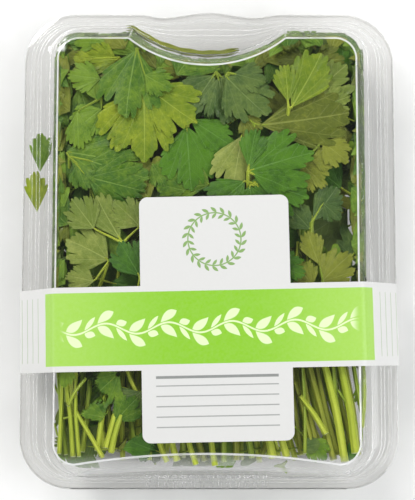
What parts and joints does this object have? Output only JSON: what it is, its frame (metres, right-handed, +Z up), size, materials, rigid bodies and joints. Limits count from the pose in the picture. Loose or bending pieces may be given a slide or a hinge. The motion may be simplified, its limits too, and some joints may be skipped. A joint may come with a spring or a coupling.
{
  "type": "parsley bunch in a hinged clear pack",
  "caption": "Cut flat-leaf parsley stems lying in a clear hinged tray and lid, with a label band round the lid.",
  "frame": {"origin": "on the surface that the tray rests on, under the middle of the pack", "axes": "+X to the right, +Y from the hinge and stem ends to the thumb tab and leafy end, +Z up"},
  "size_m": [0.1616, 0.205, 0.0386],
  "materials": {
    "clear_plastic": "clear thin thermoformed plastic, glossy",
    "label_paper": "white coated paper with a printed green band, semi-gloss",
    "leaf_mid": "waxy parsley leaf and stem",
    "leaf_bright": "waxy parsley leaf and stem",
    "leaf_lime": "waxy parsley leaf and stem",
    "leaf_pale": "waxy parsley leaf and stem",
    "leaf_dull": "waxy parsley leaf and stem",
    "leaf_olive": "waxy parsley leaf and stem"
  },
  "bodies": {
    "tray_and_parsley": {"tray": "clear_plastic", "sprig_01": "leaf_mid", "sprig_02": "leaf_dull", "sprig_03": "leaf_bright", "sprig_04": "leaf_lime", "sprig_05": "leaf_lime", "sprig_06": "leaf_olive", "sprig_07": "leaf_bright", "sprig_08": "leaf_dull", "sprig_09": "leaf_pale", "sprig_10": "leaf_pale", "sprig_11": "leaf_bright", "sprig_12": "leaf_mid", "sprig_13": "leaf_mid", "sprig_14": "leaf_lime", "sprig_15": "leaf_olive", "sprig_16": "leaf_dull", "sprig_17": "leaf_olive", "sprig_18": "leaf_pale", "sprig_19": "leaf_pale", "sprig_20": "leaf_bright", "sprig_21": "leaf_mid", "sprig_22": "leaf_mid", "sprig_23": "leaf_mid", "sprig_24": "leaf_bright", "sprig_25": "leaf_mid", "sprig_26": "leaf_mid", "sprig_27": "leaf_olive", "sprig_28": "leaf_dull", "sprig_29": "leaf_mid", "sprig_30": "leaf_mid", "sprig_31": "leaf_dull", "sprig_32": "leaf_olive", "sprig_33": "leaf_dull", "sprig_34": "leaf_olive", "sprig_35": "leaf_mid", "sprig_36": "leaf_olive", "sprig_37": "leaf_mid", "sprig_38": "leaf_dull"},
    "lid_and_label": {"lid": "clear_plastic", "label": "label_paper"}
  },
  "joints": [
    {"name": "lid_hinge", "type": "hinge", "parent": "tray_and_parsley", "child": "lid_and_label", "pos_m": [0, -0.1028, 0.02], "axis": [1, 0, 0], "range_deg": [0, 175]}
  ]
}
